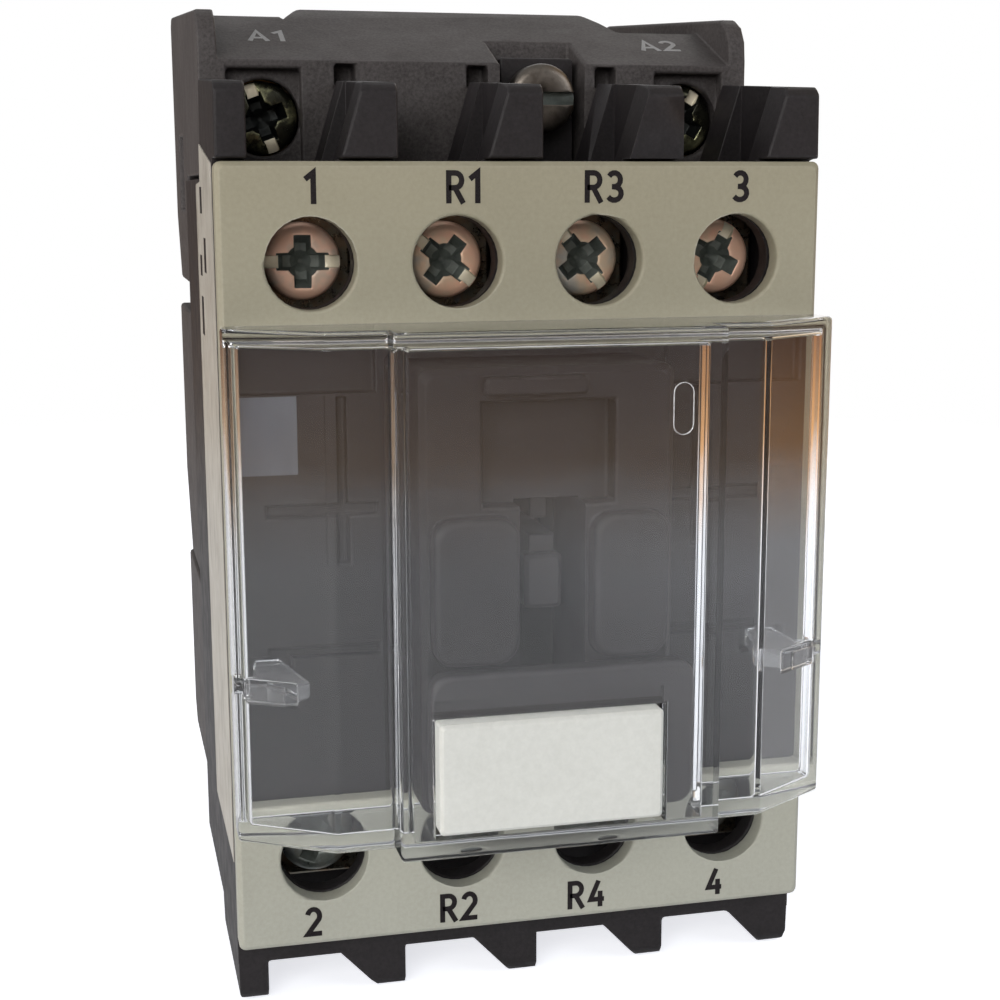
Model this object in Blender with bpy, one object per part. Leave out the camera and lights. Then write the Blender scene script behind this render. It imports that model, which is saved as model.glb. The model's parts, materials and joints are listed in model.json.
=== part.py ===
"""Four-pole DIN rail contactor with a clear sealing cover, built as separate parts.

Frame: +X right, +Y to the rear, +Z up. The origin is the centre of the face that rests on the
35 mm rail. Every length below is in millimetres and is scaled to metres when a mesh is made.
"""

import math

import bmesh
import bpy
from mathutils import Vector

MM = 0.001

# Outside
HALF_WIDTH = 22.5
FRONT = -77.0
MID = -5.0
FASCIA_HALF = 29.1
FASCIA_REAR = -75.2
SHELL_FRONT = -75.0
SHELL_REAR = -44.3
SHELL_TOP = 23.0
SHELL_LOW = -35.9
WALL_INNER = -73.2
BASE_FRONT = -44.0
REAR = 5.5

# Poles and terminals
PITCH = 10.62
POLES = [-1.5 * PITCH, -0.5 * PITCH, 0.5 * PITCH, 1.5 * PITCH]
MAKE_POLES = (0, 3)
UPPER = 22.0
LOWER = -22.3
ACCESS_R = 3.3
CHAMBER_HALF = 4.3
CHAMBER_REAR = -59.5
FIN_X = [-21.3, -2 * 5.31, 0.0, 2 * 5.31, 21.3]
FIN_HALF = 1.1
BAR_FRONT = -68.3
BAR_REAR = -66.9

# Coil terminals and magnet
COIL_X = 17.3
COIL_Z = 27.7
BLOCK_FRONT = -62.0
BLOCK_LOW = 23.3
WIDE_REAR = -27.0
REAR_HALF = 19.6
MAGNET_Z = 0.5
LEG_FRONT = -30.0

# Cover
COVER_RAISED = 9.5
COVER_FLAT = 7.0
COVER_EDGE = 3.0
COVER_WALL = 1.1
COVER_LOW = MID - 19.2
COVER_TOP = MID + 17.8

for leftover in list(bpy.data.objects):
    bpy.data.objects.remove(leftover)


def material(name, colour, roughness, metallic=0.0):
    made = bpy.data.materials.new(name)
    made.use_nodes = True
    shader = made.node_tree.nodes["Principled BSDF"]
    shader.inputs["Base Color"].default_value = (*colour, 1.0)
    shader.inputs["Roughness"].default_value = roughness
    shader.inputs["Metallic"].default_value = metallic
    return made


BEIGE = material("fascia_plastic", (0.46, 0.43, 0.34), 0.45)
BLACK = material("housing_plastic", (0.035, 0.032, 0.036), 0.5)
GREY = material("base_plastic", (0.06, 0.055, 0.058), 0.5)
CARRIER = material("carrier_plastic", (0.05, 0.048, 0.05), 0.45)
WHITE = material("marker_plastic", (0.68, 0.68, 0.62), 0.4)
CLEAR = material("clear_plastic", (0.82, 0.85, 0.87), 0.08)
ZINC = material("zinc_steel", (0.62, 0.58, 0.47), 0.3, 1.0)
SPRING = material("spring_steel", (0.5, 0.5, 0.5), 0.3, 1.0)
BRASS = material("contact_brass", (0.72, 0.55, 0.3), 0.35, 1.0)
COPPER = material("copper", (0.72, 0.4, 0.25), 0.4, 1.0)
IRON = material("laminated_iron", (0.32, 0.32, 0.33), 0.45, 1.0)
ENAMEL = material("winding_enamel", (0.4, 0.14, 0.05), 0.4)
NYLON = material("bobbin_nylon", (0.55, 0.53, 0.46), 0.5)
RUBBER = material("buffer_rubber", (0.03, 0.03, 0.03), 0.85)


def make(points, faces):
    """A temporary object from points in millimetres, with its faces turned outwards."""
    mesh = bpy.data.meshes.new("shape")
    mesh.from_pydata([Vector(p) * MM for p in points], [], faces)
    work = bmesh.new()
    work.from_mesh(mesh)
    bmesh.ops.recalc_face_normals(work, faces=work.faces)
    work.to_mesh(mesh)
    work.free()
    made = bpy.data.objects.new("shape", mesh)
    bpy.context.scene.collection.objects.link(made)
    return made


def loft(rings, closed=False):
    """Skin through rings of equally many points, capped at both ends unless closed."""
    count = len(rings[0])
    points = [p for ring in rings for p in ring]
    faces = []
    for level in range(len(rings) if closed else len(rings) - 1):
        here = level * count
        there = (level + 1) % len(rings) * count
        for i in range(count):
            j = (i + 1) % count
            faces.append((here + i, here + j, there + j, there + i))
    if not closed:
        faces.append(tuple(range(count)))
        faces.append(tuple(range(len(points) - count, len(points))))
    return make(points, faces)


def prism(axis, outline, low, high):
    """Outline extruded along an axis. Outline points hold the other two axes in order."""
    def at(a, b, c):
        if axis == "x":
            return (c, a, b)
        if axis == "y":
            return (a, c, b)
        return (a, b, c)
    return loft([[at(a, b, c) for a, b in outline] for c in (low, high)])


def box(x, y, z):
    return prism("z", [(x[0], y[0]), (x[1], y[0]), (x[1], y[1]), (x[0], y[1])], z[0], z[1])


def rounded(x, z, radius, steps=4):
    """Rectangle outline with rounded corners."""
    outline = []
    corners = ((x[1], z[1], 0), (x[0], z[1], 90), (x[0], z[0], 180), (x[1], z[0], 270))
    for cx, cz, start in corners:
        ox = cx - math.copysign(radius, cx - (x[0] + x[1]) / 2)
        oz = cz - math.copysign(radius, cz - (z[0] + z[1]) / 2)
        for step in range(steps + 1):
            angle = math.radians(start + 90 * step / steps)
            outline.append((ox + radius * math.cos(angle), oz + radius * math.sin(angle)))
    return outline


def slab(x, y, z, radius, chamfer):
    """Rounded slab whose front edge, at the lower y, is chamfered."""
    inner = rounded((x[0] + chamfer, x[1] - chamfer), (z[0] + chamfer, z[1] - chamfer), radius)
    outer = rounded(x, z, radius)
    rings = [[(a, y[0], b) for a, b in inner]]
    rings.append([(a, y[0] + chamfer, b) for a, b in outer])
    rings.append([(a, y[1], b) for a, b in outer])
    return loft(rings)


def rod(x, y, z, radius, segments=28):
    """Round bar along Y, centred at x and z, between the two values of y."""
    outline = []
    for step in range(segments):
        angle = 2 * math.pi * step / segments
        outline.append((x + radius * math.cos(angle), z + radius * math.sin(angle)))
    return prism("y", outline, y[0], y[1])


def turned(x, z, outline, segments=24):
    """Body of revolution about a line along Y. Outline holds radius and y, on the axis at both ends."""
    rings = []
    for radius, y in outline[1:-1]:
        ring = []
        for step in range(segments):
            angle = 2 * math.pi * step / segments
            ring.append((x + radius * math.cos(angle), y, z + radius * math.sin(angle)))
        rings.append(ring)
    return loft(rings)


def coil(centre, axis, radius, wire, low, high, turns, around=18, sides=6):
    """Helical spring along an axis, with a round wire."""
    rings = []
    steps = int(turns * around)
    for step in range(steps + 1):
        share = step / steps
        angle = 2 * math.pi * turns * share
        along = low + wire + (high - low - 2 * wire) * share
        ring = []
        for side in range(sides):
            turn = 2 * math.pi * side / sides
            reach = radius + wire * math.cos(turn)
            u = centre[0] + reach * math.cos(angle)
            v = centre[1] + reach * math.sin(angle)
            w = along + wire * math.sin(turn)
            ring.append((u, w, v) if axis == "y" else (u, v, w))
        rings.append(ring)
    return loft(rings)


def combine(target, kind, others):
    """Join solids to the target, or cut them away from it, and keep only the result."""
    for other in others:
        step = target.modifiers.new("step", "BOOLEAN")
        step.operation = kind
        step.solver = "EXACT"
        step.object = other
    bpy.context.view_layer.update()
    graph = bpy.context.evaluated_depsgraph_get()
    mesh = bpy.data.meshes.new_from_object(target.evaluated_get(graph))
    target.modifiers.clear()
    target.data = mesh
    for other in others:
        bpy.data.objects.remove(other)
    return target


def join(target, others):
    return combine(target, "UNION", others)


def cut(target, others):
    return combine(target, "DIFFERENCE", others)


def finish(made, name, surface, origin, turn=0.0):
    """Name a solid, give it its material, and put its own origin at a point in millimetres."""
    centre = Vector(origin) * MM
    mesh = made.data
    for vertex in mesh.vertices:
        vertex.co -= centre
    made.location = centre
    made.rotation_euler = (0.0, turn, 0.0)
    mesh.materials.clear()
    mesh.materials.append(surface)
    for face in mesh.polygons:
        face.material_index = 0
        face.use_smooth = True
    mesh.set_sharp_from_angle(angle=math.radians(32))
    made.name = name
    mesh.name = name
    return made


def row_height(row):
    return MID + (UPPER if row == "upper" else LOWER)


def outward(row):
    return 1 if row == "upper" else -1


# ---------------------------------------------------------------- front housing
def comb(root, edge, tip, skew, shoulder=0.0):
    """Outline of a row of fins standing on a strip, each with a gusset on its left side."""
    outline = [(-HALF_WIDTH, root)]
    for index, x in enumerate(FIN_X):
        left = max(x - FIN_HALF, -HALF_WIDTH)
        right = min(x + FIN_HALF, HALF_WIDTH)
        if index:
            outline.append((left - skew, edge))
        outline.append((left, tip))
        for step in range(5 if shoulder else 1):
            angle = math.radians(90 - 22.5 * step)
            across = shoulder * (1.0 - math.cos(angle))
            outline.append((right - across, tip - shoulder * (1.0 - math.sin(angle))))
        if index < len(FIN_X) - 1:
            outline.append((right, edge))
    outline.append((HALF_WIDTH, root))
    return outline


def build_front_housing():
    shell = box((-HALF_WIDTH, HALF_WIDTH), (SHELL_FRONT, SHELL_REAR), (SHELL_LOW, SHELL_TOP))
    top_fins = prism("y", comb(22.0, MID + 28.4, MID + 35.6, 2.2, 0.9), FRONT + 0.2, -62.4)
    slope = [(-78.0, 29.4), (-62.0, 30.5), (-62.0, 33.0), (-78.0, 33.0)]
    nose = [(-78.0, 28.2), (-76.8, 28.9), (-76.4, 29.3), (-75.8, 29.7), (-78.0, 30.5)]
    ledge = box((-30.0, 30.0), (-78.0, SHELL_FRONT), (20.0, MID + FASCIA_HALF + 0.2))
    cut(top_fins, [prism("x", slope, -30, 30), prism("x", nose, -30, 30), ledge])
    low_fins = prism("y", comb(-34.0, SHELL_LOW, MID - 34.0, 2.9), SHELL_FRONT, -60.0)
    heel = [(-76.0, -38.0), (-75.0, -38.4), (-74.5, -39.1), (-76.0, -39.1)]
    cut(low_fins, [prism("x", heel, -30, 30)])
    lip = box((-HALF_WIDTH, HALF_WIDTH), (SHELL_FRONT, -72.4), (15.0, MID + 29.0))
    boss = slab((-9.6, 9.1), (-83.0, -74.0), (MID - 17.2, MID + 15.0), 0.8, 0.5)
    lug = box((1.9, 8.1), (-60.0, -57.5), (20.0, 32.6))
    parts = [top_fins, low_fins, lip, boss, lug]
    parts.append(slab((-8.9, -2.7), (-84.5, -82.0), (MID - 5.9, MID + 4.6), 1.5, 0.3))
    parts.append(slab((2.7, 8.4), (-84.5, -82.0), (MID - 5.9, MID + 4.6), 1.5, 0.3))
    parts.append(slab((-5.1, 2.4), (-84.0, -82.0), (MID + 13.1, MID + 14.4), 0.4, 0.2))
    parts.append(slab((-0.9, 0.4), (-80.0, -74.0), (MID + 3.7, MID + 6.0), 0.2, 0.1))
    join(shell, parts[:-1])

    cuts = []
    for row in ("upper", "lower"):
        way = outward(row)
        height = row_height(row)
        for x in POLES:
            pocket = sorted((MID + way * 17.0, MID + way * 45.0))
            slot = sorted((MID + way * 14.0, MID + way * 18.0))
            across = (x - CHAMBER_HALF, x + CHAMBER_HALF)
            cuts.append(box(across, (WALL_INNER, -66.6), pocket))
            cuts.append(box((x - 4.0, x + 4.0), (-68.6, -66.7), slot))
            cuts.append(rod(x, (-80.0, -72.0), height, ACCESS_R))
            cuts.append(rod(x, (-67.0, -61.0), height, 2.1, 14))
    cut(shell, cuts)

    cuts = [box((-20.5, 20.5), (CHAMBER_REAR, -40.0), (MID - 20, MID + 20))]
    for x in POLES:
        across = (x - CHAMBER_HALF, x + CHAMBER_HALF)
        cuts.append(box(across, (-73.0, -58.0), (MID - 15, MID + 15)))
    cuts.append(box((-2.4, 2.4), (-90.0, -74.6), (MID - 12.0, MID + 5.4)))
    cuts.append(box((-5.1, 4.6), (-90.0, -81.2), (MID + 5.2, MID + 12.6)))
    cuts.append(box((-1.3, 1.3), (-76.0, -58.0), (MID - 3.2, MID + 3.2)))
    for side in (-1, 1):
        cuts.append(box(sorted((side * 17.6, side * 21.0)), (-76.0, -73.5), (MID - 8.9, MID - 6.9)))
        across = sorted((side * 11.2, side * 21.6))
        cuts.append(box(across, (-76.0, -74.3), (MID + 12.6, MID + 16.8)))
        cuts.append(box(sorted((side * 11.2, side * 19.2)), (-76.0, -74.3), (MID + 3.6, MID + 4.5)))
        cuts.append(box(sorted((side * 11.2, side * 19.2)), (-76.0, -74.3), (MID - 7.0, MID - 6.3)))
        cuts.append(box(sorted((side * 13.4, side * 14.2)), (-76.0, -74.3), (MID, MID + 12.4)))
    cuts.append(box((-8.4, -2.2), (-66.0, -55.7), (-40.0, -30.2)))
    cuts.append(rod(-5.3, (-56.5, -40.0), -33.0, 1.9, 20))
    cuts.append(rod(5.0, (-61.0, -56.0), 29.3, 1.9, 20))
    cut(shell, cuts)
    join(shell, parts[-1:])
    finish(shell, "front_housing", BLACK, (0, SHELL_REAR, MID))


# ---------------------------------------------------------------- base housing
def build_base_housing():
    profile = [(-30.0, -29.5), (3.5, -29.5), (REAR, -28.0), (REAR, -19.5), (4.5, -18.0)]
    profile += [(0.0, -18.0), (0.0, 18.0), (1.4, 18.0), (1.4, 16.0), (3.2, 16.0), (REAR, 18.5)]
    profile += [(REAR, 30.0), (3.0, 33.0), (-22.0, 33.0), (-24.0, 34.6), (-30.0, 34.6)]
    body = prism("x", profile, -REAR_HALF, REAR_HALF)
    block = [(BLOCK_FRONT, BLOCK_LOW), (-40.0, BLOCK_LOW), (-40.0, 36.2), (-52.0, 36.2)]
    block += [(BLOCK_FRONT, 32.0)]
    crown = [(-61.0, 31.0), (-32.0, 31.0), (-32.0, 37.0), (-50.095, 37.0), (-61.0, 32.42)]
    barrier = [(BLOCK_FRONT, BLOCK_LOW), (BASE_FRONT, BLOCK_LOW), (BASE_FRONT, 14.0), (-31.0, 14.0)]
    barrier += [(WIDE_REAR, 19.8), (WIDE_REAR, 37.6), (-28.0, 38.3), (-59.6, 35.9), (-61.0, 35.2)]
    barrier += [(-61.8, 34.0), (BLOCK_FRONT, 32.4)]
    middle = [(BASE_FRONT, -12.5), (-32.0, -12.5), (WIDE_REAR, -5.0), (WIDE_REAR, 11.4)]
    middle += [(BASE_FRONT, 11.4)]
    flank = [(BASE_FRONT, -31.0), (-29.0, -31.0), (WIDE_REAR, -29.0), (WIDE_REAR, -13.3)]
    flank += [(BASE_FRONT, -13.3)]
    parts = [box((-21.0, 21.0), (BASE_FRONT, WIDE_REAR - 0.4), (-29.5, 36.2))]
    parts.append(prism("x", block, -21.2, 21.2))
    hood = prism("x", crown, -14.6, 12.9)
    ends = [(-15.0, 38.0), (-15.0, 35.0), (-14.4, 36.1), (-12.9, 37.2), (-12.9, 38.0)]
    cut(hood, [prism("y", ends, -70, -20), prism("y", [(-x - 1.6, z) for x, z in ends], -70, -20)])
    parts.append(hood)
    parts.append(box((-9.6, -1.0), (BASE_FRONT, -36.0), (-35.0, -28.0)))
    for side in (-1, 1):
        for outline in (barrier, middle, flank):
            parts.append(prism("x", outline, *sorted((side * 20.8, side * 22.3))))
    join(body, parts)

    cuts = [box((-18.9, 18.9), (-44.5, -26.3), (-26.5, 21.5))]
    cuts.append(box((-18.9, 18.9), (BASE_FRONT, -26.3), (20.0, 29.0)))
    cuts.append(box((-17.4, 17.4), (-28.0, -2.0), (-26.5, 29.0)))
    for side in (-1, 1):
        x = side * COIL_X
        cuts.append(box((x - 3.0, x + 3.0), (-59.6, -47.0), (24.3, 31.2)))
        cuts.append(box((x - 2.4, x + 2.4), (-51.8, -47.2), (30.0, 40.0)))
        cuts.append(box((x - 2.9, x + 2.9), (-63.0, -60.7), (24.1, 31.35)))
        cuts.append(rod(x, (-70.0, -58.5), COIL_Z, 2.95, 28))
        cuts.append(box((x - 1.4, x + 1.4), (-54.0, -42.0), (24.5, 26.4)))
    for x in (-2 * 5.31, 0.0, 2 * 5.31):
        cuts.append(box((x - 1.2, x + 0.5), (-63.0, -60.0), (30.0, 31.8)))
    cuts.append(box((1.5, 8.5), (-63.0, -57.2), (20.0, 34.2)))
    step = [(12.2, 39.0), (12.2, 36.7), (13.6, 35.2), (20.8, 35.2), (20.8, 39.0)]
    cuts.append(prism("y", step, -63.0, -26.9))
    cuts.append(rod(5.0, (-58.0, -46.0), 29.3, 1.9, 16))
    cuts.append(rod(-5.3, (-46.0, -37.0), -33.0, 1.9, 16))
    cut(body, cuts)

    cuts = [box((-8.3, 8.3), (1.1, 3.7), (-32.0, -17.0))]
    for side in (-1, 1):
        cuts.append(box(sorted((side * 11.0, side * 17.0)), (-1.2, 1.0), (-8.0, 8.0)))
        cuts.append(box(sorted((side * 12.0, side * 18.0)), (3.0, 7.0), (21.0, 27.0)))
        cuts.append(box(sorted((side * 21.6, side * 23.0)), (-40.0, -33.0), (20.5, 27.0)))
    cut(body, cuts)
    join(body, [box((-1.6, 1.6), (0.6, 4.2), (-28.7, -27.5))])
    finish(body, "base_housing", GREY, (0, 0, 0))


# ---------------------------------------------------------------- fascia, cover, marker
def build_fascia():
    plate = slab((-HALF_WIDTH, HALF_WIDTH), (FRONT, FASCIA_REAR), (MID - FASCIA_HALF, MID + FASCIA_HALF),
                 0.5, 0.35)
    cuts = [box((-21.95, 21.95), (-80.0, -70.0), (MID - 17.7, MID + 17.0))]
    for row in ("upper", "lower"):
        for x in POLES:
            cuts.append(rod(x, (-80.0, -70.0), row_height(row), ACCESS_R, 32))
    cut(plate, cuts)
    finish(plate, "fascia", BEIGE, (0, FASCIA_REAR, MID))


def cover_outline(inset, back):
    """Half of the cover's section in x and y, mirrored to the other side."""
    half = [(11.8 - inset, FRONT - COVER_RAISED + inset), (11.8 - inset, FRONT - COVER_FLAT + inset)]
    half += [(16.0 - inset * 0.27, FRONT - COVER_FLAT + inset)]
    half += [(HALF_WIDTH - inset, FRONT - COVER_EDGE + inset * 0.57), (HALF_WIDTH - inset, back)]
    return half + [(-x, y) for x, y in reversed(half)]


def build_cover():
    cover = prism("z", cover_outline(0.0, FRONT - 0.3), COVER_LOW, COVER_TOP)
    hollow = prism("z", cover_outline(COVER_WALL, FRONT + 3.0), COVER_LOW + COVER_WALL,
                   COVER_TOP - COVER_WALL)
    window = box((-9.3, 7.7), (-90.0, -84.0), (MID - 17.8, MID - 9.1))
    cut(cover, [hollow, window])
    tongue = [(21.7, -80.6), (19.2, -82.2), (16.9, -80.4), (18.3, -73.9), (20.4, -73.9), (20.6, -78.0)]
    tongue.append((21.7, -78.7))
    for side in (-1, 1):
        outline = [(side * x, y) for x, y in tongue]
        join(cover, [prism("z", outline, MID - 8.6, MID - 7.2)])
        notch = box(sorted((side * 21.0, side * 24.0)), (-78.3, -76.0), (MID - 8.4, MID - 7.5))
        cut(cover, [notch])
    finish(cover, "clear_cover", CLEAR, (0, FRONT - 0.3, MID))


def build_marker():
    holder = slab((-9.3, 10.2), (-85.0, -83.3), (MID - 17.1, MID - 6.3), 1.3, 0.25)
    cut(holder, [box((-9.1, 7.8), (-86.0, -84.6), (MID - 16.0, MID - 8.0))])
    finish(holder, "marker_holder", CARRIER, (0, -83.3, MID - 11.7))
    plate = slab((-9.0, 7.4), (-86.8, -85.0), (MID - 17.5, MID - 9.4), 0.3, 0.25)
    finish(plate, "marker_plate", WHITE, (-0.8, -85.0, MID - 13.45))


# ---------------------------------------------------------------- poles
def build_fixed_contact(name, x, row, make_pole):
    way = outward(row)
    if make_pole:
        outline = [(BAR_FRONT, 26.5), (BAR_REAR, 26.5), (BAR_REAR, 14.0), (-59.9, 14.0), (-59.9, 5.5)]
        outline += [(-62.0, 5.5), (-62.0, 8.5), (-61.3, 8.5), (-61.3, 12.6), (BAR_FRONT, 12.6)]
    else:
        outline = [(BAR_FRONT, 26.5), (BAR_FRONT, 5.5), (-66.2, 5.5), (-66.2, 8.5), (BAR_REAR, 8.5)]
        outline += [(BAR_REAR, 26.5)]
    bar = prism("x", [(y, MID + way * reach) for y, reach in outline], x - 3.7, x + 3.7)
    cut(bar, [rod(x, (-72.0, -64.0), row_height(row), 1.95, 16)])
    finish(bar, name, BRASS, (x, BAR_FRONT, row_height(row)))


def build_screw(name, x, z, head_front, head_rear, tip, turn):
    """Pan head screw with a recess that takes both a flat and a cross-head driver."""
    outline = [(0.0, head_front), (2.3, head_front), (2.85, head_front + 0.5), (2.85, head_rear)]
    outline += [(1.7, head_rear), (1.7, tip - 0.6), (1.2, tip), (0.0, tip)]
    screw = turned(x, z, outline)
    groove = box((x - 4.0, x + 4.0), (head_front - 1.0, head_front + 0.7), (z - 0.45, z + 0.45))
    across = box((x - 1.9, x + 1.9), (head_front - 1.0, head_front + 1.25), (z - 0.55, z + 0.55))
    along = box((x - 0.55, x + 0.55), (head_front - 1.0, head_front + 1.25), (z - 1.9, z + 1.9))
    cut(screw, [groove, across, along])
    finish(screw, name, ZINC, (x, head_rear, z), math.radians(turn))


def build_clamp(name, x, z, front, rear, half):
    washer = slab((x - half[0], x + half[0]), (front, rear), (z - half[1], z + half[1]), 0.5, 0.2)
    cut(washer, [rod(x, (front - 1.0, rear + 1.0), z, 2.1, 16)])
    finish(washer, name, ZINC, (x, rear, z))


def build_moving_contact(index, x):
    if index in MAKE_POLES:
        back, face, pad = -67.9, -66.9, -66.3
    else:
        back, face, pad = -64.3, -65.3, -65.9
    outline = [(back, MID - 8.6), (back, MID + 8.6)]
    for reach in (8.6, 5.5):
        outline.append((face if reach == 8.6 else pad, MID + reach))
        if reach == 8.6:
            outline += [(face, MID + 8.5), (pad, MID + 8.5)]
    outline += [(face, MID + 5.5), (face, MID - 5.5), (pad, MID - 5.5), (pad, MID - 8.5)]
    outline += [(face, MID - 8.5), (face, MID - 8.6)]
    bridge = prism("x", outline, x - 2.3, x + 2.3)
    finish(bridge, "moving_contact_%d" % (index + 1), BRASS, (x, face, MID))


def build_poles():
    angles = {"upper": (0, 38, 52, -62), "lower": (24, 70, -30, 12)}
    for row in ("upper", "lower"):
        for index, x in enumerate(POLES):
            tail = "%s_%d" % (row, index + 1)
            height = row_height(row)
            build_fixed_contact("fixed_contact_" + tail, x, row, index in MAKE_POLES)
            build_clamp("terminal_clamp_" + tail, x, height, -70.1, -68.6, (3.9, 3.9))
            build_screw("terminal_screw_" + tail, x, height, -72.5, -70.4, -62.0, angles[row][index])
    for index, x in enumerate(POLES):
        build_moving_contact(index, x)
        low, high = (-70.7, -68.2) if index in MAKE_POLES else (-64.0, -60.9)
        spring = coil((x, MID), "y", 1.65, 0.25, low, high, 3.0, 12, 5)
        finish(spring, "contact_spring_%d" % (index + 1), SPRING, (x, low, MID))


def build_carrier():
    carrier = box((-20.0, 20.0), (-59.2, -56.2), (MID - 5.0, MID + 5.0))
    parts = [box((-7.0, 7.0), (-57.0, -45.0), (MID - 5.0, MID + 10.0))]
    parts.append(box((-9.3, 9.3), (-45.8, -42.7), (MAGNET_Z - 10.0, MAGNET_Z + 10.0)))
    parts.append(box((-1.0, 1.0), (-80.0, -58.0), (MID - 2.5, MID + 2.5)))
    parts.append(slab((-1.5, 1.3), (-81.0, -79.0), (MID - 2.8, MID + 1.2), 0.3, 0.3))
    for side in (-1, 1):
        cheek = sorted((side * 6.9, side * 9.3))
        parts.append(box(cheek, (-43.5, -34.3), (MAGNET_Z - 4.5, MAGNET_Z + 4.5)))
    for index, x in enumerate(POLES):
        nose = -72.3 if index in MAKE_POLES else -67.4
        parts.append(box((x - 3.9, x + 3.9), (nose, -58.0), (MID - 3.0, MID + 3.0)))
    join(carrier, parts)
    cuts = []
    for index, x in enumerate(POLES):
        low, high = (-71.0, -66.6) if index in MAKE_POLES else (-66.1, -60.6)
        cuts.append(box((x - 2.6, x + 2.6), (low, high), (MID - 4.0, MID + 4.0)))
    pin_hole = rounded((-41.45, -38.55), (MAGNET_Z - 1.45, MAGNET_Z + 1.45), 1.44, 6)
    cuts.append(prism("x", pin_hole, -12.0, 12.0))
    cut(carrier, cuts)
    finish(carrier, "contact_carrier", CARRIER, (0, -56.2, MID))


# ---------------------------------------------------------------- magnet and coil
def build_magnet():
    side, inner, centre = 18.0, 12.5, 4.0
    profile = [(-3.8, -side), (-3.8, side), (LEG_FRONT, side), (LEG_FRONT, 15.9), (-27.9, 15.9)]
    profile += [(-27.9, 14.1), (LEG_FRONT, 14.1), (LEG_FRONT, inner), (-10.8, inner), (-10.8, centre)]
    profile += [(LEG_FRONT, centre)]
    profile += [(y, -z) for y, z in reversed(profile[2:])]
    core = prism("x", [(y, MAGNET_Z + z) for y, z in profile], -6.5, 6.5)
    finish(core, "fixed_core", IRON, (0, -3.8, MAGNET_Z))

    for number, way in ((1, 1), (2, -1)):
        middle = MAGNET_Z + way * 16.75
        ring = prism("y", rounded((-7.6, 7.6), (middle - 2.45, middle + 2.45), 0.8), -29.7, -28.2)
        cut(ring, [box((-6.8, 6.8), (-31.0, -27.0), (middle - 1.55, middle + 1.55))])
        finish(ring, "shading_ring_%d" % number, COPPER, (0, -28.2, middle))

    buffer = box((-6.5, 6.5), (-3.5, -2.3), (MAGNET_Z - 17.0, MAGNET_Z + 17.0))
    finish(buffer, "core_buffer", RUBBER, (0, -2.3, MAGNET_Z))

    bobbin = prism("y", rounded((-8.0, 8.0), (MAGNET_Z - 5.5, MAGNET_Z + 5.5), 1.0), -27.0, -11.5)
    flange = rounded((-16.0, 16.0), (MAGNET_Z - 12.1, MAGNET_Z + 12.1), 1.5)
    join(bobbin, [prism("y", flange, -12.3, -11.1), prism("y", flange, -27.3, -26.1)])
    cut(bobbin, [box((-6.8, 6.8), (-30.0, -10.0), (MAGNET_Z - 4.3, MAGNET_Z + 4.3))])
    finish(bobbin, "coil_bobbin", NYLON, (0, -11.1, MAGNET_Z))

    outer = rounded((-15.0, 15.0), (MAGNET_Z - 11.4, MAGNET_Z + 11.4), 5.5, 6)
    inner_edge = rounded((-8.3, 8.3), (MAGNET_Z - 5.8, MAGNET_Z + 5.8), 1.2, 6)
    rings = [[(a, y, b) for a, b in line] for line, y in
             ((outer, -25.8), (outer, -12.6), (inner_edge, -12.6), (inner_edge, -25.8))]
    finish(loft(rings, closed=True), "coil_winding", ENAMEL, (0, -12.6, MAGNET_Z))

    profile = [(-42.3, side), (-34.3, side), (-34.3, inner), (-38.0, inner), (-38.0, centre + 1.5)]
    profile += [(-34.3, centre), (-34.3, -centre), (-38.0, -centre - 1.5), (-38.0, -inner)]
    profile += [(-34.3, -inner), (-34.3, -side), (-42.3, -side)]
    armature = prism("x", [(y, MAGNET_Z + z) for y, z in profile], -6.5, 6.5)
    hole = rounded((-41.45, -38.55), (MAGNET_Z - 1.45, MAGNET_Z + 1.45), 1.44, 6)
    cut(armature, [prism("x", hole, -12.0, 12.0)])
    finish(armature, "armature_core", IRON, (0, -42.3, MAGNET_Z))
    pin = rounded((-41.2, -38.8), (MAGNET_Z - 1.2, MAGNET_Z + 1.2), 1.19, 6)
    finish(prism("x", pin, -8.9, 8.9), "armature_pin", SPRING, (0, -40.0, MAGNET_Z))
    spring = coil((0.0, MAGNET_Z), "y", 8.6, 0.4, -34.0, -27.6, 2.5, 20)
    finish(spring, "return_spring", SPRING, (0, -27.6, MAGNET_Z))


def build_coil_terminals():
    for number, side in ((1, -1), (2, 1)):
        x = side * COIL_X
        strip = box((x - 2.4, x + 2.4), (-56.0, -54.8), (24.8, 31.0))
        tail = [(-55.4, 24.8), (-55.4, 25.9), (-26.8, 25.9), (-26.8, 6.0), (-27.9, 6.0), (-27.9, 24.8)]
        join(strip, [prism("x", tail, x - 1.0, x + 1.0)])
        cut(strip, [rod(x, (-60.0, -50.0), COIL_Z, 1.95, 16)])
        finish(strip, "coil_terminal_a%d" % number, BRASS, (x, -56.0, COIL_Z))
        build_clamp("coil_clamp_a%d" % number, x, COIL_Z, -57.6, -56.3, (2.6, 2.7))
        build_screw("coil_screw_a%d" % number, x, COIL_Z, -60.1, -57.9, -53.6, 20 + 50 * number)


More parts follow.
